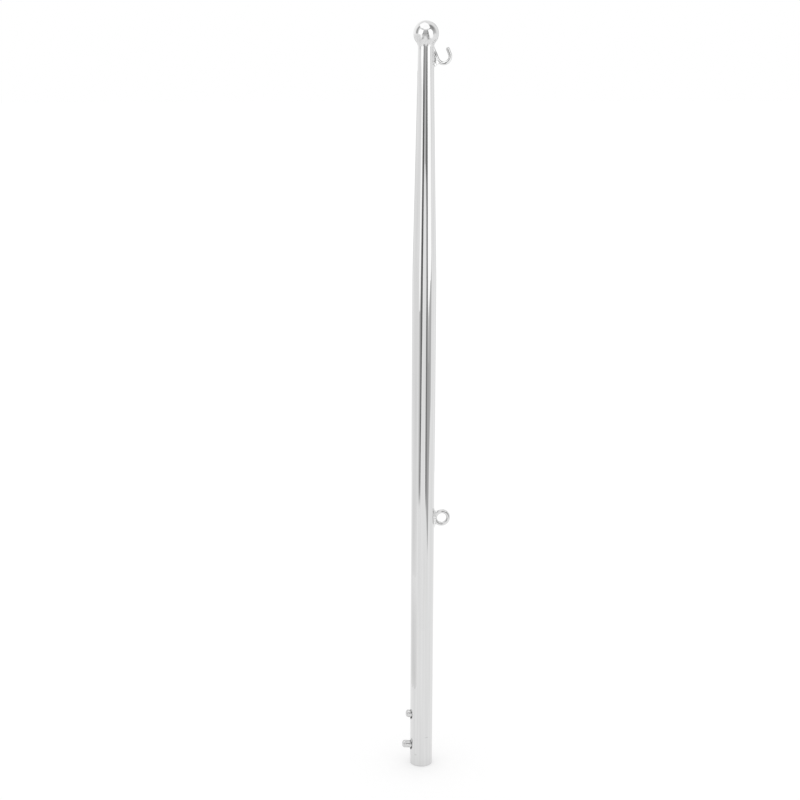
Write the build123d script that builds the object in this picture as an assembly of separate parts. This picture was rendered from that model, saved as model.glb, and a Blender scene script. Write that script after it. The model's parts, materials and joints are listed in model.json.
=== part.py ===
"""Plug-in boat flagpole: a tapered, polished stainless tube with a ball on top,
an open flag hook, a closed halyard eye and two spring buttons at the socket end.

Units are millimetres. +Z runs up the pole. The origin is the centre of the open
lower end of the tube. The hook and the eye stand on the +X side, the buttons on -X.
"""

from build123d import *
import math
import os

os.makedirs("parts", exist_ok=True)

# ---------------------------------------------------------------- driving sizes

# Tube: parallel from the socket end, then a long taper, then a slim neck.
tube_diameter = 25.0
tube_wall = 1.3
parallel_length = 554.0
taper_length = 203.0
neck_length = 38.1
neck_base_diameter = 17.1
neck_top_diameter = 16.4
end_round = 0.5

# Ball finial, seated on the flat top end of the tube.
ball_diameter = 26.0
finial_weld_down = 2.6
finial_weld_up = 1.7
finial_weld_hollow = 0.32

# Flag hook: one bent rod, welded to the neck.
hook_rod = 4.0
hook_bowl_radius = 6.9
hook_bowl_reach = 10.0
hook_bowl_below_ball = 22.5
hook_shank_lean = 24.0
hook_root_depth = 3.0
hook_tip_lean = 23.0
hook_tip_straight = 6.6
hook_tip_round = 1.4
hook_weld_toe = 12.0
hook_weld_width = 3.4
hook_weld_end_angle = 240.0
hook_weld_overlap = 0.6
hook_weld_hollow = 1.1
hook_weld_hollow_angle = 122.0

# Halyard eye: a closed ring, its rim coped to the tube and welded.
eye_rod = 4.2
eye_hole_diameter = 10.2
eye_height = 289.85
eye_sunk = 0.75
eye_weld_half_height = 11.0
eye_weld_reach = 3.2
eye_weld_half_width = 3.0
eye_weld_run = 3.8
eye_weld_run_length = 5.0
eye_weld_level = 8.1

# Button latch: a V-shaped leaf spring in the tube with two buttons on one leg.
button_diameter = 8.5
button_round = 3.0
button_hole_clearance = 1.1
button_flush_inset = 0.3
rivet_diameter = 4.0
rivet_clearance = 0.1
rivet_head_diameter = 6.0
rivet_head_height = 0.9
rivet_head_round = 0.5
leaf_width = 8.0
leaf_thickness = 0.8
latch_height = 111.0
latch_offset = 3.2
bend_radius = 2.4
leaf_lean = 6.2
lower_button_drop = 89.3
button_spacing = 37.0
leaf_tail = 8.0
leaf_gap = 0.3
fixed_leg_run = 60.0

# --------------------------------------------------------------- derived sizes

tube_radius = tube_diameter / 2
pole_length = parallel_length + taper_length + neck_length
neck_start = parallel_length + taper_length
ball_radius = ball_diameter / 2
ball_height = pole_length + math.sqrt(ball_radius**2 - (neck_top_diameter / 2) ** 2)
bore_radius = tube_radius - tube_wall
leaf_half = leaf_thickness / 2


def unit_at(degrees):
    """Unit vector in the XZ plane, from +X towards +Z."""
    angle = math.radians(degrees)
    return Vector(math.cos(angle), 0, math.sin(angle))


def outer_radius(height):
    """Outside radius of the tube at a height."""
    steps = [
        (0.0, tube_radius),
        (parallel_length, tube_radius),
        (neck_start, neck_base_diameter / 2),
        (pole_length, neck_top_diameter / 2),
    ]
    for (low, low_radius), (high, high_radius) in zip(steps, steps[1:]):
        if height <= high:
            share = (height - low) / (high - low)
            return low_radius + share * (high_radius - low_radius)
    return neck_top_diameter / 2


def turned(profile_points):
    """Solid of revolution about Z of a closed outline of (radius, height) points."""
    corners = [Vector(radius, 0, height) for radius, height in profile_points]
    face = make_face(Polyline(*corners, close=True))
    return revolve(face, Axis.Z, 360)


def rod_along(path, rod_diameter):
    """Round rod swept along a path that starts at the path's first point."""
    section = Plane(origin=path @ 0, z_dir=path % 0) * Circle(rod_diameter / 2)
    return sweep(section, path=path)


# ------------------------------------------------------------------------ tube

tube_outline = [
    (tube_radius, 0),
    (tube_radius, parallel_length),
    (neck_base_diameter / 2, neck_start),
    (neck_top_diameter / 2, pole_length),
]
tube_bore = [(radius - tube_wall, height) for radius, height in tube_outline]
tube_form = turned([(0, 0)] + tube_outline + [(0, pole_length)])
lower_rim = tube_form.edges().sort_by(Axis.Z)[0]
tube_form = fillet(lower_rim, end_round)
pole_tube = tube_form - turned([(0, 0)] + tube_bore + [(0, pole_length)])

# Latch geometry: both buttons stand square on a leg that leans out by leaf_lean.
# The leg turns about the centre of the bend, and is upright when the buttons are flush.
latch_pivot = Vector(latch_offset, 0, latch_height)
lean = math.radians(leaf_lean)
leg_down = Vector(-math.sin(lean), 0, -math.cos(lean))
leg_out = Vector(-math.cos(lean), 0, math.sin(lean))
leaf_outer_face = bend_radius + leaf_half
button_length = tube_radius - button_flush_inset - (leaf_outer_face - latch_offset)
button_drops = {
    "upper_button": lower_button_drop - button_spacing,
    "lower_button": lower_button_drop,
}


def button_base(drop):
    """Foot of a button on the outer face of the leaf, buttons out."""
    return latch_pivot + leg_down * drop + leg_out * leaf_outer_face


def wall_crossing(drop):
    """Height at which a button's axis meets the outside of the tube, buttons out."""
    base = button_base(drop)
    return base.Z + (tube_radius + base.X) * math.tan(lean)


button_hole_radius = button_diameter / 2 + button_hole_clearance
for drop in button_drops.values():
    hole_height = (wall_crossing(drop) + latch_height - drop) / 2
    wall_side = Plane(origin=(-tube_radius / 2, 0, hole_height), z_dir=(-1, 0, 0))
    pole_tube -= wall_side * Cylinder(
        button_hole_radius, tube_radius, align=(Align.CENTER, Align.CENTER, Align.MIN)
    )

# ----------------------------------------------------------------- ball finial

seat_cut = Pos(0, 0, pole_length) * Box(
    ball_diameter, ball_diameter, 2 * ball_diameter, align=(Align.CENTER, Align.CENTER, Align.MAX)
)
ball_form = Pos(0, 0, ball_height) * Sphere(ball_radius)
ball_finial = ball_form - seat_cut

# The weld runs round the joint between the ball and the tube, ground to a hollow fillet.
bead_bottom = pole_length - finial_weld_down
bead_top = pole_length + finial_weld_up
ball_at_bead_top = math.sqrt(ball_radius**2 - (ball_height - bead_top) ** 2)
bead_low_point = Vector(outer_radius(bead_bottom), 0, bead_bottom)
bead_high_point = Vector(ball_at_bead_top, 0, bead_top)
bead_inside = Vector(neck_top_diameter / 2 - tube_wall / 2, 0, pole_length)
bead_chord = bead_high_point - bead_low_point
into_corner = Vector(-bead_chord.Z, 0, bead_chord.X).normalized()
bead_hollow_point = (bead_low_point + bead_high_point) * 0.5 + into_corner * finial_weld_hollow
bead_edges = [
    ThreePointArc(bead_low_point, bead_hollow_point, bead_high_point),
    Line(bead_high_point, bead_inside),
    Line(bead_inside, bead_low_point),
]
finial_weld = revolve(make_face(bead_edges), Axis.Z, 360) - ball_finial - tube_form

# ------------------------------------------------------------------------ hook

bowl_centre = Vector(
    outer_radius(ball_height - hook_bowl_below_ball) + hook_bowl_reach,
    0,
    ball_height - hook_bowl_below_ball,
)
shank_angle = 180 + hook_shank_lean
tip_angle = hook_tip_lean
shank_end = bowl_centre + unit_at(shank_angle) * hook_bowl_radius
tip_start = bowl_centre + unit_at(tip_angle) * hook_bowl_radius
tip_end = tip_start + unit_at(tip_angle + 90) * hook_tip_straight
bowl_bottom = bowl_centre + unit_at((shank_angle + 360 + tip_angle) / 2) * hook_bowl_radius
shank_up = unit_at(shank_angle - 90)
surface_there = outer_radius(shank_end.Z)
shank_run = (shank_end.X - surface_there) / abs(shank_up.X)
shank_root = shank_end + shank_up * (shank_run + hook_root_depth / abs(shank_up.X))
hook_path = Wire(
    [
        Line(shank_root, shank_end).edge(),
        ThreePointArc(shank_end, bowl_bottom, tip_start).edge(),
        Line(tip_start, tip_end).edge(),
    ]
)
hook_form = rod_along(hook_path, hook_rod)
hook_rims = hook_form.edges().filter_by(GeomType.CIRCLE)
tip_rim = min(hook_rims, key=lambda rim: (rim.arc_center - tip_end).length)
hook_form = fillet(tip_rim, hook_tip_round)
hook = hook_form - tube_form - ball_form

# A gusset of weld fills the corner under the shank and thins out above it.
toe_height = bowl_centre.Z - hook_weld_toe
weld_low = Vector(outer_radius(toe_height) - hook_weld_overlap, 0, toe_height)
weld_end_radius = hook_bowl_radius + hook_rod / 2 - hook_weld_overlap
weld_outer = bowl_centre + unit_at(hook_weld_end_angle) * weld_end_radius
weld_top = shank_end + shank_up * shank_run
weld_inner = Vector(weld_low.X, 0, weld_top.Z)
weld_middle = (weld_low + weld_outer) * 0.5
weld_hollow = weld_middle + unit_at(hook_weld_hollow_angle) * hook_weld_hollow
gusset_edges = [
    ThreePointArc(weld_low, weld_hollow, weld_outer),
    Line(weld_outer, weld_top),
    Line(weld_top, weld_inner),
    Line(weld_inner, weld_low),
]
gusset = extrude(make_face(gusset_edges), hook_weld_width / 2, dir=(0, 1, 0), both=True)
hook_weld = gusset - tube_form - hook_form

# ------------------------------------------------------------------------- eye

eye_ring_radius = eye_hole_diameter / 2 + eye_rod / 2
eye_centre = Vector(
    tube_radius + eye_ring_radius + eye_rod / 2 - eye_sunk, 0, eye_height
)
eye_form = Plane(origin=eye_centre, z_dir=(0, 1, 0)) * Torus(eye_ring_radius, eye_rod / 2)
halyard_eye = eye_form - tube_form

# The weld hugs the tube on both sides of the ring and fills the two corners level.
weld_blob = scale(
    Sphere(1), (eye_weld_reach, eye_weld_half_width, eye_weld_half_height)
)
eye_weld_form = Pos(tube_radius - eye_sunk / 2, 0, eye_height) * weld_blob
for side in (-1, 1):
    run_height = eye_height + side * (eye_weld_level - eye_weld_run / 2)
    run_start = Plane(origin=(tube_radius - eye_sunk, 0, run_height), z_dir=(1, 0, 0))
    eye_weld_form += run_start * Cylinder(
        eye_weld_run / 2, eye_weld_run_length, align=(Align.CENTER, Align.CENTER, Align.MIN)
    )
eye_weld = eye_weld_form - tube_form - eye_form

# ----------------------------------------------------------------- button latch


def leaf_strip(edges):
    """Leaf spring of constant thickness along a centre line in the XZ plane."""
    line = Wire([edge.edge() for edge in edges])
    section_plane = Plane(origin=line @ 0, x_dir=(0, 1, 0), z_dir=line % 0)
    return sweep(section_plane * Rectangle(leaf_width, leaf_thickness), path=line)


def upright_leaf_x():
    """Centre line of a leaf that rests flat against the +X side of the bore."""
    return math.sqrt(bore_radius**2 - (leaf_width / 2) ** 2) - leaf_half


leaf_end_drop = lower_button_drop + leaf_tail
moving_top = latch_pivot + leg_out * bend_radius + leg_down * leaf_gap
moving_end = latch_pivot + leg_out * bend_radius + leg_down * leaf_end_drop
spring_moving_leg = leaf_strip([Line(moving_top, moving_end)])
rivet_hole_radius = rivet_diameter / 2 + rivet_clearance
rivet_hole_depth = 4 * leaf_thickness
for drop in button_drops.values():
    rivet_plane = Plane(origin=button_base(drop), z_dir=leg_out)
    spring_moving_leg -= rivet_plane * Cylinder(rivet_hole_radius, rivet_hole_depth)

bend_start = latch_pivot + leg_out * bend_radius
bend_top = latch_pivot + Vector(0, 0, bend_radius)
knee = Vector(upright_leaf_x(), 0, latch_height - fixed_leg_run)
bend_to_knee = knee - latch_pivot
knee_bearing = math.degrees(math.atan2(bend_to_knee.Z, bend_to_knee.X))
tangent_turn = math.degrees(math.acos(bend_radius / bend_to_knee.length))
bend_end = latch_pivot + unit_at(knee_bearing + tangent_turn) * bend_radius
fixed_end = Vector(knee.X, 0, latch_height - leaf_end_drop)
spring_fixed_leg = leaf_strip(
    [
        ThreePointArc(bend_start, bend_top, bend_end),
        Line(bend_end, knee),
        Line(knee, fixed_end),
    ]
)


def button(drop):
    """Round-ended button standing square on the leaf, its tail riveted through it."""
    foot = Plane(origin=button_base(drop), z_dir=leg_out)
    on_foot = (Align.CENTER, Align.CENTER, Align.MIN)
    below_foot = (Align.CENTER, Align.CENTER, Align.MAX)
    blank = Cylinder(button_diameter / 2, button_length, align=on_foot)
    blank = fillet(blank.edges().sort_by(Axis.Z)[-1], button_round)
    tail = Cylinder(rivet_diameter / 2, leaf_thickness + rivet_head_height / 2, align=below_foot)
    head = Cylinder(rivet_head_diameter / 2, rivet_head_height, align=below_foot)
    head = fillet(head.edges().sort_by(Axis.Z)[0], rivet_head_round)
    return foot * (blank + tail + Pos(0, 0, -leaf_thickness) * head)


# ------------------------------------------------------------------ all pieces

pieces = {
    "pole_tube": pole_tube,
    "ball_finial": ball_finial,
    "finial_weld": finial_weld,
    "hook": hook,
    "hook_weld": hook_weld,
    "halyard_eye": halyard_eye,
    "eye_weld": eye_weld,
    "spring_fixed_leg": spring_fixed_leg,
    "spring_moving_leg": spring_moving_leg,
}
for button_name, drop in button_drops.items():
    pieces[button_name] = button(drop)

for node_name, piece in pieces.items():
    export_step(piece, f"parts/{node_name}.step")
    size = piece.bounding_box().size
    print(f"{node_name:20s} {len(piece.solids())} solid(s) {piece.volume:10.1f} mm3 "
          f"{size.X:7.1f} {size.Y:7.1f} {size.Z:7.1f}")
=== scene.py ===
"""Plug-in boat flagpole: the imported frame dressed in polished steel. Metres, +Z up."""

import json
import math

import bmesh
import bpy
from mathutils import Matrix, Vector


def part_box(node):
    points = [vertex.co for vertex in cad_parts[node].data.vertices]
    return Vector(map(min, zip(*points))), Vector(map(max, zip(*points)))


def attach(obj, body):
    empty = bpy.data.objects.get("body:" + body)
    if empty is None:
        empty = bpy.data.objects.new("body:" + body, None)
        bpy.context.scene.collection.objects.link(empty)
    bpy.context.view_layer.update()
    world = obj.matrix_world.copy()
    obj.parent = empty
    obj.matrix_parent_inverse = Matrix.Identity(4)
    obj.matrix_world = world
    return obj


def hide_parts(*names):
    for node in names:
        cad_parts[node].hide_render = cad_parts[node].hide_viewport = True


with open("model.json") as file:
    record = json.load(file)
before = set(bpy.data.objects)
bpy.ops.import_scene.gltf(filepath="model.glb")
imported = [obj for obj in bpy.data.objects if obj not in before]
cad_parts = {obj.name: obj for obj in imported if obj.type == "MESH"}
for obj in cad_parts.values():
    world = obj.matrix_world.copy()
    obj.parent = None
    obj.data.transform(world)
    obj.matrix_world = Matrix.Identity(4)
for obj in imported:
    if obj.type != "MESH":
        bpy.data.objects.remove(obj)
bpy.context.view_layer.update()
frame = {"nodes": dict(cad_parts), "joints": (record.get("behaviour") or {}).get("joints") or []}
bpy.context.scene.view_settings.view_transform = "Standard"

# ------------------------------------------------------------------ camera
# Metres and degrees. The camera stands round from -Y by the azimuth, looks down by the
# pitch, and is turned and rolled a little. The lens and the sensor are in millimetres.

CAMERA_DISTANCE = 1.5675
CAMERA_HEIGHT = 0.7933
CAMERA_AZIMUTH = -10.0
CAMERA_PITCH = 13.3
CAMERA_TURN = 0.922
CAMERA_ROLL = 0.192
CAMERA_LENS = 67.5
SENSOR_WIDTH = 36.0


def turn(degrees, axis):
    """Rotation about an axis of the world or of the camera."""
    return Matrix.Rotation(math.radians(degrees), 4, axis)


def make_camera():
    """The photograph's viewpoint."""
    data = bpy.data.cameras.new("camera")
    data.lens = CAMERA_LENS
    data.sensor_width = SENSOR_WIDTH
    camera = bpy.data.objects.new("camera", data)
    bpy.context.scene.collection.objects.link(camera)
    place = turn(CAMERA_AZIMUTH, "Z") @ Vector((0, -CAMERA_DISTANCE, CAMERA_HEIGHT))
    aim = turn(CAMERA_AZIMUTH + CAMERA_TURN, "Z") @ turn(90 - CAMERA_PITCH, "X")
    camera.matrix_world = Matrix.Translation(place) @ aim @ turn(CAMERA_ROLL, "Z")
    bpy.context.scene.camera = camera


make_camera()

# --------------------------------------------------------------- materials


def new_material(name):
    """Empty node material: itself, its nodes, its links and its output node."""
    material = bpy.data.materials.new(name)
    material.use_nodes = True
    nodes = material.node_tree.nodes
    nodes.clear()
    output = nodes.new("ShaderNodeOutputMaterial")
    return material, nodes, material.node_tree.links, output


class Finish:
    """A metal finish built up from noise in the object's own coordinates."""

    def __init__(self, name, base, roughness):
        """Base and roughness are the plain values under what is linked in later."""
        self.material, self.nodes, self.links, output = new_material(name)
        self.shader = self.nodes.new("ShaderNodeBsdfPrincipled")
        self.shader.inputs["Base Color"].default_value = (base, base, base, 1)
        self.shader.inputs["Metallic"].default_value = 1.0
        self.shader.inputs["Roughness"].default_value = roughness
        self.links.new(self.shader.outputs["BSDF"], output.inputs["Surface"])
        self.place = self.nodes.new("ShaderNodeTexCoord").outputs["Object"]
        self.normal = None

    def noise(self, size, stretch=(1, 1, 1), detail=3.0):
        """Noise from 0 to 1 whose grain is size metres, longer where stretch is over 1."""
        mapping = self.nodes.new("ShaderNodeMapping")
        mapping.inputs["Scale"].default_value = [1 / (size * part) for part in stretch]
        texture = self.nodes.new("ShaderNodeTexNoise")
        texture.inputs["Scale"].default_value = 1.0
        texture.inputs["Detail"].default_value = detail
        self.links.new(self.place, mapping.inputs["Vector"])
        self.links.new(mapping.outputs["Vector"], texture.inputs["Vector"])
        return texture.outputs["Fac"]

    def along(self, direction):
        """How far a point lies along a direction, in metres."""
        dot = self.nodes.new("ShaderNodeVectorMath")
        dot.operation = "DOT_PRODUCT"
        dot.inputs[1].default_value = direction
        self.links.new(self.place, dot.inputs[0])
        return dot.outputs["Value"]

    def rings(self, direction, size):
        """Turned lines round a direction, size metres apart, a little uneven."""
        wander = self.combine("MULTIPLY", self.noise(WANDER_SIZE, detail=2.0), 1.5 * size)
        place = self.combine("ADD", self.along(direction), wander)
        turns = self.combine("MULTIPLY", place, 2 * math.pi / size)
        return self.spread(self.combine("SINE", turns, 0), 0.0, 1.0, -1.0, 1.0)

    def spread(self, value, low, high, start=0.3, end=0.7):
        """Value from start to end becomes low to high, smoothly."""
        ramp = self.nodes.new("ShaderNodeMapRange")
        ramp.interpolation_type = "SMOOTHSTEP"
        limits = {"From Min": start, "From Max": end, "To Min": low, "To Max": high}
        for socket, limit in limits.items():
            ramp.inputs[socket].default_value = limit
        self.links.new(value, ramp.inputs["Value"])
        return ramp.outputs["Result"]

    def blot(self, centre, half_sizes):
        """1 inside a soft-edged ellipsoid, 0 outside."""
        offset = self.nodes.new("ShaderNodeVectorMath")
        offset.operation = "SUBTRACT"
        offset.inputs[1].default_value = centre
        shrink = self.nodes.new("ShaderNodeVectorMath")
        shrink.operation = "DIVIDE"
        shrink.inputs[1].default_value = half_sizes
        length = self.nodes.new("ShaderNodeVectorMath")
        length.operation = "LENGTH"
        self.links.new(self.place, offset.inputs[0])
        self.links.new(offset.outputs[0], shrink.inputs[0])
        self.links.new(shrink.outputs[0], length.inputs[0])
        return self.spread(length.outputs["Value"], 1.0, 0.0, 0.5, 1.1)

    def combine(self, operation, first, second):
        """Result of an operation on two values, each a number or a socket."""
        node = self.nodes.new("ShaderNodeMath")
        node.operation = operation
        for socket, value in zip(node.inputs, (first, second)):
            if isinstance(value, (int, float)):
                socket.default_value = value
            else:
                self.links.new(value, socket)
        return node.outputs["Value"]

    def mix(self, share, first, second):
        """First where share is 0, second where it is 1."""
        node = self.nodes.new("ShaderNodeMix")
        for socket, value in (("Factor", share), ("A", first), ("B", second)):
            if isinstance(value, (int, float)):
                node.inputs[socket].default_value = value
            else:
                self.links.new(value, node.inputs[socket])
        return node.outputs["Result"]

    def beyond(self, radius):
        """1 further than radius metres from the object's Z axis, 0 nearer."""
        flat = self.nodes.new("ShaderNodeVectorMath")
        flat.operation = "MULTIPLY"
        flat.inputs[1].default_value = (1, 1, 0)
        length = self.nodes.new("ShaderNodeVectorMath")
        length.operation = "LENGTH"
        self.links.new(self.place, flat.inputs[0])
        self.links.new(flat.outputs[0], length.inputs[0])
        return self.combine("GREATER_THAN", length.outputs["Value"], radius)

    def dull(self, grey, roughness, mask, effect):
        """Grey and roughness, darker and rougher by the two parts of effect under a mask."""
        darker, rougher = effect
        grey = self.combine("SUBTRACT", grey, self.combine("MULTIPLY", mask, darker))
        roughness = self.combine("ADD", roughness, self.combine("MULTIPLY", mask, rougher))
        return grey, roughness

    def set_roughness(self, value):
        """Roughness of that strength."""
        self.links.new(value, self.shader.inputs["Roughness"])

    def set_grey(self, value):
        """Neutral base colour of that strength."""
        colour = self.nodes.new("ShaderNodeCombineColor")
        for channel in ("Red", "Green", "Blue"):
            self.links.new(value, colour.inputs[channel])
        self.links.new(colour.outputs["Color"], self.shader.inputs["Base Color"])

    def bump(self, height, depth):
        """Relief of depth metres, added to what is there."""
        bump = self.nodes.new("ShaderNodeBump")
        bump.inputs["Strength"].default_value = 1.0
        bump.inputs["Distance"].default_value = depth
        self.links.new(height, bump.inputs["Height"])
        if self.normal:
            self.links.new(self.normal, bump.inputs["Normal"])
        self.normal = bump.outputs["Normal"]
        self.links.new(self.normal, self.shader.inputs["Normal"])


MICRON = 0.000001
# Neutral mirror finish: fine lines drawn along the metal, faint smears, slow waviness.
STEEL_BASE = 0.715
STEEL_DARKER = 0.036
STEEL_LIGHTER = 0.018
STEEL_ROUGHNESS = (0.022, 0.055)
LINE_SIZE = 0.0011
SHADE_SIZE = 0.0028
SMEAR_SIZE = 0.016
SMEAR_ROUGHNESS = 0.075
WAVE_SIZE = 0.006
WAVE_DEPTH = 3.5 * MICRON
SATIN_SIZE = 0.0022
SATIN_ROUGHNESS = (0.19, 0.25)
# What a scuff does, and what a cut end, the rims of the holes and a spot of painted shade do: (darker,
# rougher).
SCUFF_EFFECT = (0.12, 0.25)
DULL_AND_SHADE_EFFECT = (0.30, 0.3)
# The inside of the tube, as it was rolled.
MILL_BASE = 0.30
MILL_ROUGHNESS = 0.42
# The ground weld under the ball: roughness at its foot and top, and those heights.
GROUND_ROUGHNESS = (0.05, 0.24)
GROUND_RUN = (0.7895, 0.7915)
GROUND_GRAIN_SIZE = 0.0008
GROUND_DARKER = 0.02
GROUND_LIGHTER = 0.01
# The other finishes: plain grey and roughness, the ranges of both, and sizes of grain.
WELD_PLAIN = (0.83, 0.22)
WELD_GREY = (0.79, 0.87)
WELD_ROUGHNESS = (0.17, 0.28)
WELD_GRAIN_SIZE = 0.0006
WELD_PATCH_SIZE = 0.0025
TURNED_PLAIN = (0.66, 0.18)
TURNED_GREY = (0.63, 0.69)
TURNED_ROUGHNESS = (0.14, 0.18)
TURNED_LINE_SIZE = 0.00045
WEAR_ROUGHNESS = 0.05
WEAR_SIZE = 0.0016
SPRING_PLAIN = (0.50, 0.28)
SPRING_GREY = (0.42, 0.54)
SPRING_ROUGHNESS = (0.22, 0.36)
SPRING_LINE_SIZE = 0.0005
STAIN_SIZE = 0.007
# How far the buttons point up when they are out, and how unevenly they were turned.
BUTTON_LEAN = 6.2
BUTTON_AXIS = (-math.cos(math.radians(BUTTON_LEAN)), 0, math.sin(math.radians(BUTTON_LEAN)))
WANDER_SIZE = 0.003


def polished_steel(name, line_stretch, scuffs=(), dulled_and_shaded=(), bore=None, satin=None):
    """Mirror finish, its lines drawn out by line_stretch.

    Scuffs, and spots made darker and rougher (a cut end, the rims of holes, painted shade), are (centre,
    half sizes).
    Bore is (radius, top) of the unpolished inside of a tube.
    Satin is (start, end) of a run of heights over which the mirror turns hazy.
    """
    finish = Finish(name, STEEL_BASE, STEEL_ROUGHNESS[0])
    lines = finish.noise(LINE_SIZE, line_stretch, detail=4.0)
    smears = finish.noise(SMEAR_SIZE, (1, 1, 2.2), detail=5.0)
    roughness = finish.combine(
        "MAXIMUM",
        finish.spread(lines, *STEEL_ROUGHNESS),
        finish.spread(smears, 0.0, SMEAR_ROUGHNESS, 0.5, 0.75),
    )
    shade = finish.noise(SHADE_SIZE, line_stretch)
    grey = finish.spread(shade, STEEL_BASE - STEEL_DARKER, STEEL_BASE + STEEL_LIGHTER)
    for spot in scuffs:
        rubbed = finish.combine("MULTIPLY", finish.blot(*spot), finish.spread(lines, 0.5, 1.0))
        grey, roughness = finish.dull(grey, roughness, rubbed, SCUFF_EFFECT)
    # Dull spots, and spots of painted shade, darken and roughen the finish here.
    for spot in dulled_and_shaded:
        grey, roughness = finish.dull(grey, roughness, finish.blot(*spot), DULL_AND_SHADE_EFFECT)
    if satin:
        haze = finish.spread(finish.along((0, 0, 1)), 0.0, 1.0, *satin)
        brushed = finish.spread(finish.noise(SATIN_SIZE, detail=4.0), *SATIN_ROUGHNESS)
        roughness = finish.combine("MAXIMUM", roughness, finish.combine("MULTIPLY", haze, brushed))
    if bore:
        outside = finish.beyond(bore[0])
        above = finish.combine("GREATER_THAN", finish.along((0, 0, 1)), bore[1])
        polished = finish.combine("MAXIMUM", outside, above)
        grey = finish.mix(polished, MILL_BASE, grey)
        roughness = finish.mix(polished, MILL_ROUGHNESS, roughness)
    finish.set_grey(grey)
    finish.set_roughness(roughness)
    finish.bump(finish.noise(WAVE_SIZE, line_stretch, detail=1.0), WAVE_DEPTH)
    return finish.material


def weld_metal():
    """Buffed weld: softer gloss, a grain of brushing and shallow dimples."""
    finish = Finish("weld_metal", *WELD_PLAIN)
    grain = finish.noise(WELD_GRAIN_SIZE, detail=4.0)
    patches = finish.noise(WELD_PATCH_SIZE, detail=3.0)
    finish.set_grey(finish.spread(patches, *WELD_GREY))
    finish.set_roughness(finish.spread(grain, *WELD_ROUGHNESS))
    finish.bump(patches, 6 * MICRON)
    finish.bump(grain, 5 * MICRON)
    return finish.material


def ground_weld():
    """Weld ground flush: mirror-bright at its foot, satin higher up."""
    finish = Finish("ground_weld", STEEL_BASE, 0.14)
    grain = finish.noise(GROUND_GRAIN_SIZE, (1, 1, 0.5), detail=4.0)
    climb = finish.spread(finish.along((0, 0, 1)), *GROUND_ROUGHNESS, *GROUND_RUN)
    finish.set_grey(finish.spread(grain, STEEL_BASE - GROUND_DARKER, STEEL_BASE + GROUND_LIGHTER))
    finish.set_roughness(finish.combine("MULTIPLY", climb, finish.spread(grain, 0.85, 1.15)))
    finish.bump(grain, 2 * MICRON)
    return finish.material


def turned_steel():
    """Satin turned steel of the spring buttons."""
    finish = Finish("turned_steel", *TURNED_PLAIN)
    lines = finish.rings(BUTTON_AXIS, TURNED_LINE_SIZE)
    wear = finish.noise(WEAR_SIZE, detail=4.0)
    finish.set_grey(finish.spread(wear, *TURNED_GREY))
    cuts = finish.spread(lines, *TURNED_ROUGHNESS)
    finish.set_roughness(finish.combine("ADD", cuts, finish.spread(wear, 0.0, WEAR_ROUGHNESS)))
    finish.bump(lines, 4 * MICRON)
    return finish.material


def spring_steel():
    """Cold-rolled strip: rolling lines along the leaf and a dull, uneven gloss."""
    finish = Finish("spring_steel", *SPRING_PLAIN)
    lines = finish.noise(SPRING_LINE_SIZE, (1, 1, 30), detail=3.0)
    stains = finish.noise(STAIN_SIZE, detail=5.0)
    finish.set_grey(finish.spread(stains, *SPRING_GREY))
    finish.set_roughness(finish.spread(lines, *SPRING_ROUGHNESS))
    finish.bump(lines, 6 * MICRON)
    return finish.material


# Two small scuffs low on the front of the tube: (centre, half sizes).
TUBE_SCUFFS = [
    ((0.0039, -0.0119, 0.0350), (0.0030, 0.0030, 0.0008)),
    ((-0.0080, -0.0096, 0.0138), (0.0018, 0.0018, 0.0011)),
]
# The rims of both button holes are made darker and rougher.
HOLE_HEIGHTS = (0.0223, 0.0594)
HOLE_RIMS = [((-0.0125, 0, height), (0.0120, 0.0068, 0.0066)) for height in HOLE_HEIGHTS]
# The cut end of the hook is dull as well; its root is darkened as painted shade where it meets the neck.
HOOK_DULL_AND_SHADE = [
    ((0.0219, 0, 0.7917), (0.0024, 0.0026, 0.0016)),
    # Painted shade at the hook's root, where the shank meets the neck.
    ((0.0106, 0, 0.7856), (0.0030, 0.0046, 0.0036)),
]
# Inside this radius lie the bore and the walls of the button holes, up to this height.
BORE = (0.01235, 0.45)
# The ball is hazy below its middle, where the grinding of its weld ran out.
BALL_HAZE = (0.8040, 0.8010)
# How far the polishing lines are drawn out: on the tube, and on the smaller pieces.
TUBE_STRETCH = (1, 1, 60)
SMALL_STRETCH = (1, 1, 1.5)

drawn_tube = polished_steel("polished_tube", TUBE_STRETCH, TUBE_SCUFFS, HOLE_RIMS, BORE)
ball_steel = polished_steel("polished_ball", SMALL_STRETCH, satin=BALL_HAZE)
hook_steel = polished_steel("polished_hook", SMALL_STRETCH, dulled_and_shaded=HOOK_DULL_AND_SHADE)
buffed_steel = polished_steel("buffed_steel", SMALL_STRETCH)
weld = weld_metal()
ground = ground_weld()
turned = turned_steel()
strip = spring_steel()

for node, material in (
    ("pole_tube", drawn_tube),
    ("spring_fixed_leg", strip),
    ("spring_moving_leg", strip),
    ("ball_finial", ball_steel),
    ("hook", hook_steel),
    ("halyard_eye", buffed_steel),
    ("upper_button", turned),
    ("lower_button", turned),
    ("finial_weld", ground),
    ("hook_weld", weld),
    ("eye_weld", weld),
):
    slots = frame["nodes"][node].data.materials
    slots.clear()
    slots.append(material)

# ------------------------------------------------------------ mesh helpers
# Pieces are drawn in millimetres and scaled to metres when they are added.

MM = 0.001
SHARP_ANGLE = math.radians(50)
# The ring of a turned form that ends in a point, or in a flat face, is this small.
SMALLEST_RING = 0.01


def box_mm(node):
    """Opposite corners of a CAD node's box."""
    low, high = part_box(node)
    return low / MM, high / MM


def unit_at(degrees):
    """Unit vector in the XZ plane, from +X towards +Z."""
    angle = math.radians(degrees)
    return Vector((math.cos(angle), 0, math.sin(angle)))


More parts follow.
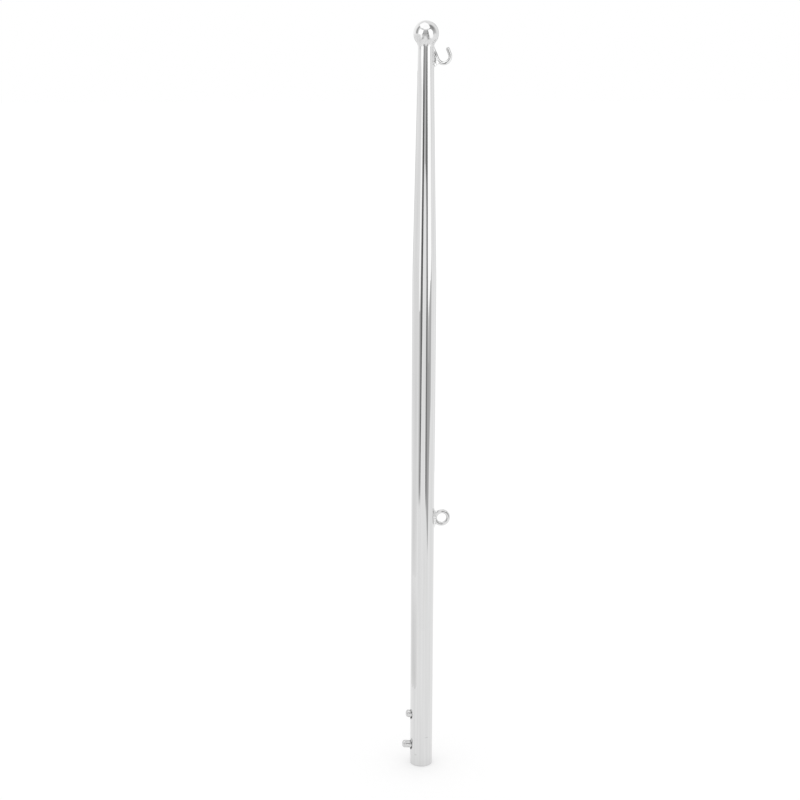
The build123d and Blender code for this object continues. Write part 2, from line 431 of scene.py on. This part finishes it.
def ring_skin(rings, closed=False):
    """Faces over rows of points that are rings of equal length."""
    sides = len(rings[0])
    points = [point for ring in rings for point in ring]
    faces = []
    for row in range(len(rings) if closed else len(rings) - 1):
        below = row * sides
        above = (row + 1) % len(rings) * sides
        for side in range(sides):
            following = (side + 1) % sides
            faces.append((below + side, below + following, above + following, above + side))
    return points, faces


def close_ends(points, faces, sides, top, bottom):
    """Fans from the last ring to the point top, and from the first ring to bottom."""
    tip = len(points)
    last_ring = tip - sides
    points += [top, bottom]
    for side in range(sides):
        following = (side + 1) % sides
        faces.append((last_ring + side, last_ring + following, tip))
        faces.append((following, side, tip + 1))


def turned_form(profile, sides):
    """Rings of a form turned about Z, from a profile of (radius, height) points."""
    rings = []
    for radius, height in profile:
        ring = []
        for side in range(sides):
            angle = 2 * math.pi * side / sides
            ring.append(Vector((radius * math.cos(angle), radius * math.sin(angle), height)))
        rings.append(ring)
    return rings


def arc_points(centre, radius, start, end, steps):
    """(radius, height) points of a profile's arc, angles in degrees."""
    points = []
    for step in range(steps + 1):
        angle = math.radians(start + (end - start) * step / steps)
        points.append((centre[0] + radius * math.cos(angle), centre[1] + radius * math.sin(angle)))
    return points


def add_piece(name, points, faces, body, material, node):
    """A finished piece in place of a CAD node. Points in millimetres."""
    mesh = bpy.data.meshes.new(name)
    mesh.from_pydata([Vector(point) * MM for point in points], [], faces)
    mesh.validate()
    form = bmesh.new()
    form.from_mesh(mesh)
    bmesh.ops.recalc_face_normals(form, faces=form.faces)
    form.to_mesh(mesh)
    form.free()
    for face in mesh.polygons:
        face.use_smooth = True
    mesh.set_sharp_from_angle(angle=SHARP_ANGLE)
    mesh.materials.append(material)
    piece = bpy.data.objects.new(name, mesh)
    bpy.context.scene.collection.objects.link(piece)
    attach(piece, body)
    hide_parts(node)


def fused_lumps(lumps, grain, smoothing):
    """One skin over overlapping ellipsoids (centre, radii), rounded where they meet."""
    form = bmesh.new()
    for centre, radii in lumps:
        place = Matrix.Translation(centre) @ Matrix.Diagonal((*radii, 1))
        bmesh.ops.create_icosphere(form, subdivisions=3, radius=1, matrix=place)
    mesh = bpy.data.meshes.new("lumps")
    form.to_mesh(mesh)
    form.free()
    holder = bpy.data.objects.new("lumps", mesh)
    bpy.context.scene.collection.objects.link(holder)
    remesh = holder.modifiers.new("fuse", "REMESH")
    remesh.mode = "VOXEL"
    remesh.voxel_size = grain
    smooth = holder.modifiers.new("smooth", "SMOOTH")
    smooth.factor = 0.5
    smooth.iterations = smoothing
    finished = holder.evaluated_get(bpy.context.evaluated_depsgraph_get()).to_mesh()
    points = [vertex.co.copy() for vertex in finished.vertices]
    faces = [tuple(face.vertices) for face in finished.polygons]
    holder.to_mesh_clear()
    bpy.data.objects.remove(holder)
    return points, faces


# -------------------------------------------------------- ball and its weld
# The radii of the tube, and the length of its neck, are those of the CAD.

NECK_TOP_RADIUS = 8.2
NECK_BASE_RADIUS = 8.55
NECK_LENGTH = 38.1
TUBE_RADIUS = 12.5
LATHE_SIDES = 160
BALL_RINGS = 110
# The last ring of the ball's arc, in degrees: just short of its top point.
BALL_ARC_END = 89.6
# The fillet under the ball is hollow, with broad and fine waves from hand grinding.
FILLET_RINGS = 20
FILLET_HOLLOW = 0.32
BROAD_WAVES = 5
BROAD_WAVE_DEPTH = 0.04
FINE_WAVES = 11
FINE_WAVE_DEPTH = 0.012
# The back of the weld is hidden this deep in the wall of the tube.
WELD_BURIED = 0.4

pole_top = box_mm("pole_tube")[1].z


def neck_radius(height):
    """Outside radius of the tube's neck."""
    taper = (NECK_BASE_RADIUS - NECK_TOP_RADIUS) * (pole_top - height) / NECK_LENGTH
    return NECK_TOP_RADIUS + taper


def make_ball():
    """Ball with a flat seat on the top of the tube."""
    low, high = box_mm("ball_finial")
    radius = high.x
    centre = high.z - radius
    seat = math.degrees(math.asin((low.z - centre) / radius))
    profile = [(SMALLEST_RING, low.z)]
    profile += arc_points((0, centre), radius, seat, BALL_ARC_END, BALL_RINGS)
    points, faces = ring_skin(turned_form(profile, LATHE_SIDES))
    close_ends(points, faces, LATHE_SIDES, Vector((0, 0, high.z)), Vector((0, 0, low.z)))
    add_piece("polished_ball", points, faces, "pole", ball_steel, "ball_finial")


def make_finial_weld():
    """Hollow fillet round the ball's seat, ground by hand and so a little uneven."""
    low, high = box_mm("finial_weld")
    foot = Vector((neck_radius(low.z), low.z))
    lip = Vector((high.x, high.z))
    chord = lip - foot
    inward = Vector((-chord.y, chord.x)).normalized()
    rings = []
    for step in range(FILLET_RINGS + 1):
        share = step / FILLET_RINGS
        bow = 4 * share * (1 - share)
        ring = []
        for side in range(LATHE_SIDES):
            angle = 2 * math.pi * side / LATHE_SIDES
            uneven = BROAD_WAVE_DEPTH * math.sin(BROAD_WAVES * angle + 0.7)
            uneven += FINE_WAVE_DEPTH * math.sin(FINE_WAVES * angle + 2 * share)
            point = foot + chord * share + inward * (FILLET_HOLLOW - uneven) * bow
            ring.append(Vector((point.x * math.cos(angle), point.x * math.sin(angle), point.y)))
        rings.append(ring)
    back = [
        (lip.x - 1.0, lip.y - 0.3),
        (NECK_TOP_RADIUS - WELD_BURIED, pole_top),
        (foot.x - WELD_BURIED, foot.y + 0.2),
    ]
    rings += turned_form(back, LATHE_SIDES)
    points, faces = ring_skin(rings, closed=True)
    add_piece("ground_ball_weld", points, faces, "pole", ground, "finial_weld")


# ------------------------------------------------------- hook and its weld

HOOK_BOWL_RADIUS = 6.9
HOOK_SHANK_LEAN = 24.0
HOOK_TIP_LEAN = 23.0
HOOK_TIP_STRAIGHT = 6.6
HOOK_TIP_ROUND = 1.4
ROD_SIDES = 56
SHANK_RINGS = 40
BOWL_RINGS = 110
TIP_RINGS = 14
TIP_ROUND_RINGS = 12
# How far the shank and the fillet round its root reach into the neck, and how far the
# fillet's lumps lie outside the rod.
SHANK_BURIED = 0.4
FILLET_BURIED = 0.1
FILLET_PROUD = 0.1
# Passes of the weld under the shank, from the lowest up, from the neck out to the shank:
# (start past the neck's wall, start above the weld's foot, the same of its end, radius).
HOOK_PASSES = [
    (0.20, 1.6, 4.0, 4.9, 1.50),
    (0.25, 3.1, 3.8, 5.9, 1.75),
    (0.30, 4.6, 3.4, 7.0, 1.95),
    (0.30, 6.2, 2.8, 8.2, 1.90),
    (0.30, 7.8, 2.1, 9.6, 1.90),
    (0.25, 9.4, 1.5, 11.1, 1.70),
    (0.20, 11.0, 0.9, 12.6, 1.55),
]
PASS_WIDER = 0.25
LUMP_SPACING = 0.35
# The fillet's lumps: their radii, and how far above the weld's box they go on.
FILLET_LUMP = (0.6, 0.6, 0.85)
FILLET_ABOVE = 5.0
# The welds' skin: its grain, and how often each weld is smoothed.
SKIN_GRAIN = 0.18
HOOK_SMOOTHING = 18
EYE_SMOOTHING = 9

hook_low, hook_high = box_mm("hook")
hook_rod = (hook_high.y - hook_low.y) / 2
hook_reach = HOOK_BOWL_RADIUS + hook_rod
bowl = Vector((hook_high.x - hook_reach, 0, hook_low.z + hook_reach))
shank_up = unit_at(90 + HOOK_SHANK_LEAN)
shank_side = unit_at(180 + HOOK_SHANK_LEAN)
shank_end = bowl + shank_side * HOOK_BOWL_RADIUS


def round_ring(centre, outward, radius):
    """Ring round a rod that lies in the XZ plane. Outward is square to the rod."""
    across = Vector((0, 1, 0))
    ring = []
    for side in range(ROD_SIDES):
        angle = 2 * math.pi * side / ROD_SIDES
        ring.append(centre + radius * (math.cos(angle) * outward + math.sin(angle) * across))
    return ring


def run_to_neck(point, into_wall):
    """How far along the shank a point is from the neck's surface, less into_wall."""
    radius = neck_radius(bowl.z + HOOK_BOWL_RADIUS) - into_wall
    return (math.sqrt(radius**2 - point.y**2) - point.x) / shank_up.x


def make_hook():
    """Bent rod: its shank coped to the neck, its tip ground round."""
    shank_foot = round_ring(shank_end, shank_side, hook_rod)
    rings = []
    for step in range(SHANK_RINGS):
        share = 1 - step / SHANK_RINGS
        ring = [point + shank_up * run_to_neck(point, SHANK_BURIED) * share for point in shank_foot]
        rings.append(ring)
    start = 180 + HOOK_SHANK_LEAN
    end = 360 + HOOK_TIP_LEAN
    for step in range(BOWL_RINGS + 1):
        outward = unit_at(start + (end - start) * step / BOWL_RINGS)
        rings.append(round_ring(bowl + outward * HOOK_BOWL_RADIUS, outward, hook_rod))
    outward = unit_at(HOOK_TIP_LEAN)
    along = unit_at(HOOK_TIP_LEAN + 90)
    tip_foot = bowl + outward * HOOK_BOWL_RADIUS
    straight = HOOK_TIP_STRAIGHT - HOOK_TIP_ROUND
    for step in range(1, TIP_RINGS + 1):
        rings.append(round_ring(tip_foot + along * straight * step / TIP_RINGS, outward, hook_rod))
    for step in range(1, TIP_ROUND_RINGS + 1):
        angle = math.pi / 2 * step / TIP_ROUND_RINGS
        centre = tip_foot + along * (straight + HOOK_TIP_ROUND * math.sin(angle))
        rings.append(round_ring(centre, outward, hook_rod - HOOK_TIP_ROUND * (1 - math.cos(angle))))
    points, faces = ring_skin(rings)
    tip = sum(rings[-1], Vector()) / ROD_SIDES
    root = sum(rings[0], Vector()) / ROD_SIDES
    close_ends(points, faces, ROD_SIDES, tip, root)
    add_piece("flag_hook_rod", points, faces, "pole", hook_steel, "hook")


def bead(start, end, radius, width):
    """Lumps of one weld pass from start to end, each solidified a little unevenly."""
    count = int((end - start).length / LUMP_SPACING)
    lumps = []
    for index in range(count + 1):
        ripple = 1 + 0.03 * math.sin(0.8 * index + 5 * radius)
        centre = start.lerp(end, index / count)
        lumps.append((centre, (radius * ripple, width * ripple, radius * ripple)))
    return lumps


def make_hook_weld():
    """Passes laid one over the other under the shank, and a thin fillet round its root."""
    low, high = box_mm("hook_weld")
    neck = neck_radius(low.z)
    lumps = []
    for start_out, start_up, end_out, end_up, radius in HOOK_PASSES:
        start = Vector((neck + start_out, 0, low.z + start_up))
        end = Vector((neck + end_out, 0, low.z + end_up))
        lumps += bead(start, end, radius, radius + PASS_WIDER)
    for point in round_ring(shank_end, shank_side, hook_rod + FILLET_PROUD):
        on_neck = point + shank_up * run_to_neck(point, FILLET_BURIED)
        if on_neck.z < high.z + FILLET_ABOVE:
            lumps.append((on_neck, FILLET_LUMP))
    points, faces = fused_lumps(lumps, SKIN_GRAIN, HOOK_SMOOTHING)
    add_piece("flag_hook_weld", points, faces, "pole", weld, "hook_weld")


# -------------------------------------------------------- eye and its weld

EYE_RINGS = 180
# Beads up both sides of the ring's rim: how many lumps, how far off the middle plane,
# how far out of the tube, how much of a round they follow, and the radii of a lump.
SIDE_LUMPS = 48
SIDE_OFFSET = 1.9
SIDE_PROUD = 0.35
SIDE_BOW = 0.94
SIDE_LUMP = (1.9, 1.3, 1.15)
SIDE_END_GAP = 1.1
# Runs in the upper and the lower corner: their radius, their lengths, how far from the
# eye's middle they reach, and how far to +Y the lower one lies.
RUN_RADIUS = 2.0
UPPER_RUN = 2.7
UPPER_REACH = 8.15
LOWER_RUN = 2.2
LOWER_REACH = 8.0
LOWER_RUN_OFF = 0.4
# The lower pass ended in a round lump on the side towards -Y.
END_LUMP_RADIUS = 2.3
END_LUMP_OUT = 1.5
END_LUMP_OFF = -0.6
END_LUMP_REACH = 8.05


def make_eye():
    """Closed ring of round rod, standing in the XZ plane."""
    low, high = box_mm("halyard_eye")
    rod = (high.y - low.y) / 2
    outer = (high.z - low.z) / 2
    centre = Vector((high.x - outer, 0, (high.z + low.z) / 2))
    rings = []
    for step in range(EYE_RINGS):
        outward = unit_at(360 * step / EYE_RINGS)
        rings.append(round_ring(centre + outward * (outer - rod), outward, rod))
    points, faces = ring_skin(rings, closed=True)
    add_piece("halyard_ring", points, faces, "pole", buffed_steel, "halyard_eye")


def make_eye_weld():
    """Beads up both sides of the ring's rim, and a rounded run in each corner."""
    low, high = box_mm("eye_weld")
    middle = (low.z + high.z) / 2
    half = (high.z - low.z) / 2
    lumps = []
    for side in (-1, 1):
        for index in range(SIDE_LUMPS + 1):
            height = -1 + 2 * index / SIDE_LUMPS
            taper = math.sqrt(1 - (SIDE_BOW * height) ** 2)
            ripple = 1 + 0.04 * math.sin(0.95 * index + side)
            off = side * SIDE_OFFSET * taper
            out = math.sqrt(TUBE_RADIUS**2 - off**2) + SIDE_PROUD * taper
            centre = Vector((out, off, middle + height * (half - SIDE_END_GAP)))
            deep, broad, tall = SIDE_LUMP
            lumps.append((centre, (deep * taper * ripple, broad * ripple * taper**0.5, tall)))
    start = Vector((TUBE_RADIUS, 0, middle + UPPER_REACH - RUN_RADIUS))
    lumps += bead(start, start + Vector((UPPER_RUN, 0, 0)), RUN_RADIUS, RUN_RADIUS)
    lump_height = middle - END_LUMP_REACH + END_LUMP_RADIUS
    lump = Vector((TUBE_RADIUS + END_LUMP_OUT, END_LUMP_OFF, lump_height))
    lumps.append((lump, (END_LUMP_RADIUS, END_LUMP_RADIUS, END_LUMP_RADIUS)))
    start = Vector((TUBE_RADIUS, LOWER_RUN_OFF, middle - LOWER_REACH + RUN_RADIUS))
    lumps += bead(start, start + Vector((LOWER_RUN, 0, 0)), RUN_RADIUS, RUN_RADIUS)
    points, faces = fused_lumps(lumps, SKIN_GRAIN, EYE_SMOOTHING)
    add_piece("halyard_ring_weld", points, faces, "pole", weld, "eye_weld")


# ----------------------------------------------------------------- buttons

# How far the buttons' feet lie out from the line down the leaf, and down from its pivot.
BUTTON_FOOT = 2.8
BUTTON_DROPS = {"upper_button": 52.3, "lower_button": 89.3}
BUTTON_SIDES = 96
BUTTON_LENGTH = 12.6
BUTTON_ROUND = 3.0
BUTTON_FOOT_ROUND = 0.25
# Where the domed end's arc stops, in degrees: just short of its flat.
BUTTON_ARC_END = 88
RIVET_RADIUS = 2.0
RIVET_HEAD_RADIUS = 3.0
RIVET_HEAD_HEIGHT = 0.9
RIVET_HEAD_ROUND = 0.5
LEAF_THICKNESS = 0.8

latch_pivot = Vector(frame["joints"][0]["pos_m"]) / MM


def make_button(node):
    """Turned button with a domed end, its tail riveted over behind the leaf."""
    low, high = box_mm(node)
    radius = (high.y - low.y) / 2
    back = -LEAF_THICKNESS - RIVET_HEAD_HEIGHT
    head_flat = RIVET_HEAD_RADIUS - RIVET_HEAD_ROUND
    dome_foot = BUTTON_LENGTH - BUTTON_ROUND
    profile = [(SMALLEST_RING, back), (head_flat, back)]
    profile += arc_points((head_flat, back + RIVET_HEAD_ROUND), RIVET_HEAD_ROUND, -75, 0, 6)
    profile += [(RIVET_HEAD_RADIUS, -LEAF_THICKNESS), (RIVET_RADIUS, -LEAF_THICKNESS), (RIVET_RADIUS, 0)]
    profile += arc_points((radius - BUTTON_FOOT_ROUND, BUTTON_FOOT_ROUND), BUTTON_FOOT_ROUND, -90, 0, 5)
    # Two rings just below the dome keep the shading of the long side straight.
    profile += [(radius, dome_foot - below) for below in (3.0, 1.5)]
    profile += arc_points((radius - BUTTON_ROUND, dome_foot), BUTTON_ROUND, 0, BUTTON_ARC_END, 32)
    profile += [(SMALLEST_RING, BUTTON_LENGTH)]
    points, faces = ring_skin(turned_form(profile, BUTTON_SIDES))
    down = -unit_at(90 - BUTTON_LEAN)
    out = unit_at(180 - BUTTON_LEAN)
    foot = latch_pivot + down * BUTTON_DROPS[node] + out * BUTTON_FOOT
    facing = out.to_track_quat("Z", "Y")
    points = [foot + facing @ point for point in points]
    name = node.replace("button", "snap_button")
    add_piece(name, points, faces, "button_latch", turned, node)


make_ball()
make_finial_weld()
make_hook()
make_hook_weld()
make_eye()
make_eye_weld()
for button_node in BUTTON_DROPS:
    make_button(button_node)

# ------------------------------------------------------------------- stage
# The set round the pole, which the mirror finish shows. Bearings are degrees from the
# camera's side of the pole, + to the camera's right. Distances and heights are metres
# from the pole's foot. A glow of 1.0 is as bright as the white world round it.

BOX_DISTANCE = 0.42
CAMERA_SIDE_DISTANCE = 0.46
RIGHT_DISTANCE = 0.8
BACK_DISTANCE = 1.2
REFLECTOR_DISTANCE = 0.023
STRIP_DISTANCE = 0.014
OVERHEAD_HEIGHT = 1.30
OVERHEAD_GLOW = 1.4
CARD_STEPS = 6
FLOOR_HALF = 20.0
FLOOR_GREY = 0.75
FLOOR_GLOW = 0.27


def stage_point(bearing, distance, height):
    """Place on the set."""
    angle = math.radians(CAMERA_AZIMUTH + bearing)
    return (distance * math.sin(angle), -distance * math.cos(angle), height)


def glow_material():
    """White light as strong as the glow that each corner of a card has."""
    material, nodes, links, output = new_material("studio_glow")
    attribute = nodes.new("ShaderNodeAttribute")
    attribute.attribute_name = "glow"
    emission = nodes.new("ShaderNodeEmission")
    links.new(attribute.outputs["Fac"], emission.inputs["Strength"])
    links.new(emission.outputs["Emission"], output.inputs["Surface"])
    return material


studio_glow = glow_material()


def card(name, points, faces, glows):
    """Studio card or soft box that shows in polished metal and not to the camera."""
    mesh = bpy.data.meshes.new(name)
    mesh.from_pydata(points, [], faces)
    layer = mesh.attributes.new("glow", "FLOAT", "POINT")
    for index, glow in enumerate(glows):
        layer.data[index].value = glow
    mesh.materials.append(studio_glow)
    piece = bpy.data.objects.new(name, mesh)
    bpy.context.scene.collection.objects.link(piece)
    piece.visible_camera = False
    piece.visible_diffuse = False
    piece.visible_shadow = False


def net_faces(rows, columns):
    """Faces between corners that are listed row by row."""
    faces = []
    for row in range(rows - 1):
        for column in range(columns - 1):
            low = row * columns + column
            high = low + columns
            faces.append((low, low + 1, high + 1, high))
    return faces


def at(distance, columns):
    """Columns for a fence that keeps one distance, from (bearing, glow)."""
    return [(bearing, distance, glow) for bearing, glow in columns]


def fence(name, columns, rows):
    """Upright card bent round the pole.

    Columns are (bearing, distance, glow), and rows (height, share of white mixed in).
    """
    points, glows = [], []
    for height, white in rows:
        for bearing, distance, glow in columns:
            points.append(stage_point(bearing, distance, height))
            glows.append(glow + (1 - glow) * white)
    card(name, points, net_faces(len(rows), len(columns)), glows)


def wide_card(name, distance, rows):
    """Upright card: rows of (height, left bearing, right bearing, glow), bottom to top."""
    points, glows = [], []
    for height, left, right, glow in rows:
        for step in range(CARD_STEPS + 1):
            bearing = left + (right - left) * step / CARD_STEPS
            points.append(stage_point(bearing, distance, height))
            glows.append(glow)
    card(name, points, net_faces(len(rows), CARD_STEPS + 1), glows)


wide_card(
    "soft_box_left",
    BOX_DISTANCE,
    [
        (0.450, -51, -38, 1.10),
        (0.480, -51, -34.8, 1.24),
        (0.620, -52, -32.4, 1.28),
        (0.700, -53, -33.4, 1.30),
        (0.750, -56, -35.8, 1.32),
        (0.785, -72, -34, 1.42),
        (0.805, -70, -29, 1.45),
        (0.950, -68, -25, 1.45),
        (1.070, -65, -23, 1.45),
    ],
)
wide_card(
    "soft_box_right",
    BOX_DISTANCE,
    [
        (0.380, 39, 54, 0.56),
        (0.420, 37.3, 54, 0.66),
        (0.440, 38.5, 52, 0.82),
        (0.455, 38.5, 51, 1.25),
        (0.468, 36.7, 54, 1.36),
        (0.491, 35.5, 61, 1.34),
        (0.540, 33.2, 73, 1.34),
        (0.600, 32, 74, 1.36),
        (0.700, 28.8, 72.5, 1.38),
        (0.760, 25.5, 69, 1.42),
        (0.800, 23, 65, 1.45),
        (0.950, 20, 63, 1.45),
        (0.992, 20, 60, 1.45),
        (1.047, 19.5, 54.5, 1.45),
        (1.100, 19, 52, 1.45),
    ],
)
# White paper that hangs and runs forward in front of the pole.
wide_card(
    "paper_front",
    BOX_DISTANCE,
    [
        (-0.02, -27, 26, 1.0),
        (0.10, -27, 25, 1.0),
        (0.18, -25.6, 24, 1.02),
        (0.25, -24, 22, 1.04),
        (0.32, -20.5, 21, 1.04),
        (0.365, -19, 21, 1.04),
        (0.39, -18, 20.5, 1.04),
        (0.42, -16, 20, 1.04),
        (0.46, -15, 21, 1.04),
        (0.53, -14, 20, 1.04),
        (0.60, -12, 17, 1.02),
        (0.64, -12, 12, 1.0),
        (0.66, -9, 5, 0.95),
    ],
)
# Photographer's side of the room: grey behind the camera, dark to both sides.
wide_card(
    "camera_side",
    CAMERA_SIDE_DISTANCE,
    [
        (0.53, -13, 4, 1.0),
        (0.60, -13, 4, 0.88),
        (0.70, -13, 5, 0.68),
        (0.745, -14, 6, 0.60),
        (0.765, -20, 7, 0.52),
        (0.79, -23, 10, 0.50),
        (0.82, -26, 14.5, 0.58),
        (1.00, -27, 15, 0.62),
        (1.07, -28, 16, 0.80),
        (1.13, -28, 17, 1.02),
        (1.19, -28, 18, 1.35),
    ],
)
fence(
    "dark_room",
    [
        (-62, 0.97, 1.0),
        (-52, 0.97, 0.9),
        (-42, 0.97, 0.66),
        (-36, 0.97, 0.44),
        (-30, 0.97, 0.2),
        (-18, 0.97, 0.09),
        (0, 0.97, 0.2),
        (12, 0.97, 0.2),
        (22, 0.95, 0.22),
        (30, 0.95, 0.2),
        (36, 0.88, 0.38),
        (44, 0.77, 0.54),
        (50, 0.68, 0.42),
        (56, 0.78, 0.55),
        (61, 1.20, 0.56),
        (68, 1.50, 0.52),
        (72.5, 1.60, 0.62),
        (77, 1.70, 0.95),
        (80, 1.80, 1.0),
    ],
    [
        (0.008, 1.0),
        (0.032, 0.20),
        (0.053, 0.0),
        (0.16, 0.0),
        (0.25, 0.03),
        (0.33, 0.04),
        (0.42, 0.0),
        (1.62, 0.0),
    ],
)
# Dark to the left and right of the ball, and light greys left of the tube.
fence(
    "dark_left",
    at(0.5, [(-76, 0.95), (-84, 0.55), (-92, 0.36), (-99, 0.58), (-106, 0.95)]),
    [(0.79, 0.6), (0.84, 0.0), (1.35, 0.0)],
)
fence(
    "dark_right",
    at(
        RIGHT_DISTANCE,
        [(49, 0.95), (56, 0.50), (64, 0.36), (76, 0.30), (90, 0.34), (102, 0.6), (114, 0.95)],
    ),
    [(0.81, 0.6), (1.10, 0.3), (1.37, 0.05), (2.2, 0.0), (2.6, 0.40), (3.2, 0.78), (3.5, 1.0)],
)
fence(
    "grey_left",
    at(0.6, [(-55, 1.0), (-66, 0.92), (-90, 0.9), (-120, 0.92), (-140, 1.0)]),
    [(0.0, 0.4), (0.06, 0.0), (0.30, 0.2), (0.45, 0.6), (0.60, 0.6), (0.70, 1.0)],
)
fence(
    "low_left",
    [(-50, 0.23, 1.0), (-58, 0.225, 0.88), (-90, 0.225, 0.84), (-122, 0.225, 0.88), (-134, 0.225, 1.0)],
    [(0.0, 0.3), (0.02, 0.0), (0.09, 0.3), (0.15, 1.0)],
)
# White card beside the ball, for its light left rim.
fence(
    "white_left",
    at(0.6, [(-106, 1.0), (-114, 1.13), (-128, 1.18), (-170, 1.1)]),
    [(0.76, 1.0), (0.81, 0.2), (0.86, 0.0), (1.15, 0.0), (1.30, 0.6)],
)
# Dark flats behind the pole, so that its back is seen as polished metal too.
flat_columns = [(7, 1.0), (13, 0.38), (19, 0.42), (28, 1.0)]
for flat, side in (("back_flat_left", -1), ("back_flat_right", 1)):
    fence(
        flat,
        at(BACK_DISTANCE, [(180 + side * bearing, glow) for bearing, glow in flat_columns]),
        [(0.0, 0.6), (0.10, 0.0), (1.1, 0.0), (1.5, 1.0)],
    )
# Small reflectors close under the ball's front, which soften its lower half.
fence(
    "near_reflector_left",
    at(REFLECTOR_DISTANCE, [(-27, 0.84), (-21, 0.68), (-14, 0.59), (-8, 0.57), (4, 0.57)]),
    [(0.7930, 0.95), (0.7956, 1.0), (0.7976, 0.58), (0.7996, 0.25), (0.8014, 0.12), (0.8038, 0.0)],
)
fence(
    "near_reflector_right",
    at(REFLECTOR_DISTANCE, [(4, 0.74), (8, 0.60), (13.5, 0.43), (17, 0.66)]),
    [(0.7925, 0.1), (0.7945, 0.0), (0.7985, 0.0), (0.8038, 0.12)],
)
# Two strips that carry the dark streaks on round the ball's underside.
wide_card(
    "near_strip_left",
    STRIP_DISTANCE,
    [
        (0.7957, -30, -24, 0.80),
        (0.7973, -27, -17, 0.52),
        (0.7986, -23.5, -13.5, 0.48),
        (0.7997, -20.5, -12, 0.54),
        (0.8008, -19, -12, 0.60),
        (0.8017, -19, -12, 0.70),
    ],
)
wide_card(
    "near_strip_right",
    STRIP_DISTANCE,
    [
        (0.7948, 10, 20, 0.85),
        (0.7957, 8, 22, 0.70),
        (0.7973, 9, 21.5, 0.50),
        (0.7986, 9, 20.5, 0.40),
        (0.7997, 9, 16, 0.40),
        (0.8004, 8, 14, 0.46),
    ],
)
# The soft box overhead, from (bearing, distance) round its rim.
overhead_rim = [
    (-160, 0.24),
    (-120, 0.40),
    (-90, 0.42),
    (-60, 0.50),
    (-45, 0.56),
    (-20, 0.62),
    (0, 0.63),
    (20, 0.62),
    (38, 0.57),
    (48, 0.46),
    (56, 0.31),
    (64, 0.20),
    (75, 0.15),
    (110, 0.10),
    (170, 0.12),
]
overhead = [stage_point(bearing, distance, OVERHEAD_HEIGHT) for bearing, distance in overhead_rim]
card("soft_box_top", overhead, [tuple(range(len(overhead)))], [OVERHEAD_GLOW] * len(overhead))


def make_world():
    """White all round."""
    world = bpy.data.worlds.new("studio")
    bpy.context.scene.world = world
    world.use_nodes = True
    background = world.node_tree.nodes["Background"]
    background.inputs["Color"].default_value = (1, 1, 1, 1)
    background.inputs["Strength"].default_value = 1.0


def make_floor():
    """White floor, lit a little from within so that it meets the world unseen."""
    material, nodes, links, output = new_material("floor")
    diffuse = nodes.new("ShaderNodeBsdfDiffuse")
    diffuse.inputs["Color"].default_value = (FLOOR_GREY, FLOOR_GREY, FLOOR_GREY, 1)
    glow = nodes.new("ShaderNodeEmission")
    glow.inputs["Strength"].default_value = FLOOR_GLOW
    both = nodes.new("ShaderNodeAddShader")
    links.new(diffuse.outputs["BSDF"], both.inputs[0])
    links.new(glow.outputs["Emission"], both.inputs[1])
    links.new(both.outputs["Shader"], output.inputs["Surface"])
    mesh = bpy.data.meshes.new("floor")
    signs = [(-1, -1), (1, -1), (1, 1), (-1, 1)]
    corners = [(x * FLOOR_HALF, y * FLOOR_HALF, 0) for x, y in signs]
    mesh.from_pydata(corners, [], [(0, 1, 2, 3)])
    mesh.materials.append(material)
    floor = bpy.data.objects.new("floor", mesh)
    bpy.context.scene.collection.objects.link(floor)


make_world()
make_floor()
